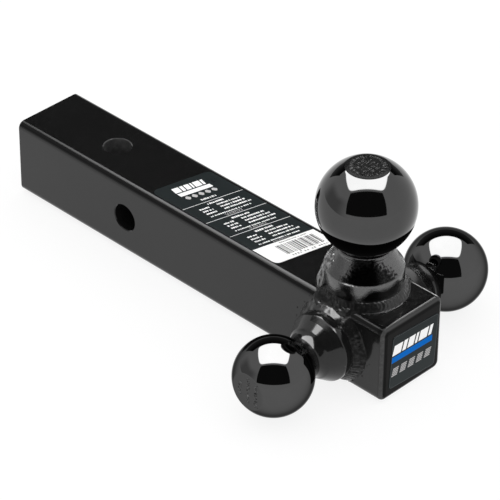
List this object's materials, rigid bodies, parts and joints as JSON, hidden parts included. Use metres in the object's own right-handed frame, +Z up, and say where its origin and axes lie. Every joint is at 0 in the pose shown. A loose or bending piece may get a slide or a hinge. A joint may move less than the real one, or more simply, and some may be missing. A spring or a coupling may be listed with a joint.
{
  "type": "trailer hitch ball mount",
  "caption": "Square-shank trailer hitch mount with coupler balls of different sizes welded on top and on both sides of its front end, and cross holes for the hitch pin.",
  "frame": {"origin": "where the axis of the sideways hitch-pin hole crosses the axis of the square shank", "axes": "+X along the shank towards its front face and the balls, +Z up through the large ball, +Y out through the medium ball; the sideways pin hole runs along Y"},
  "size_m": [0.3078, 0.1897, 0.1348],
  "materials": {
    "black_powder_coat": "satin black powder coat with fine orange peel",
    "black_nickel": "polished black nickel plate",
    "painted_weld": "glossy black paint over rippled weld",
    "label_vinyl": "printed matt charcoal vinyl",
    "badge_vinyl": "printed charcoal vinyl with a pale border line"
  },
  "bodies": {
    "root": {"shank_bar": "black_powder_coat", "ball_large": "black_nickel", "ball_small": "black_nickel", "ball_medium": "black_nickel", "weld_large": "painted_weld", "weld_small": "painted_weld", "weld_medium": "painted_weld", "weld_buildup_run": "painted_weld", "weld_corner_small_side": "painted_weld", "weld_corner_medium_side": "painted_weld", "rating_label": "label_vinyl", "front_badge": "badge_vinyl"}
  },
  "joints": []
}
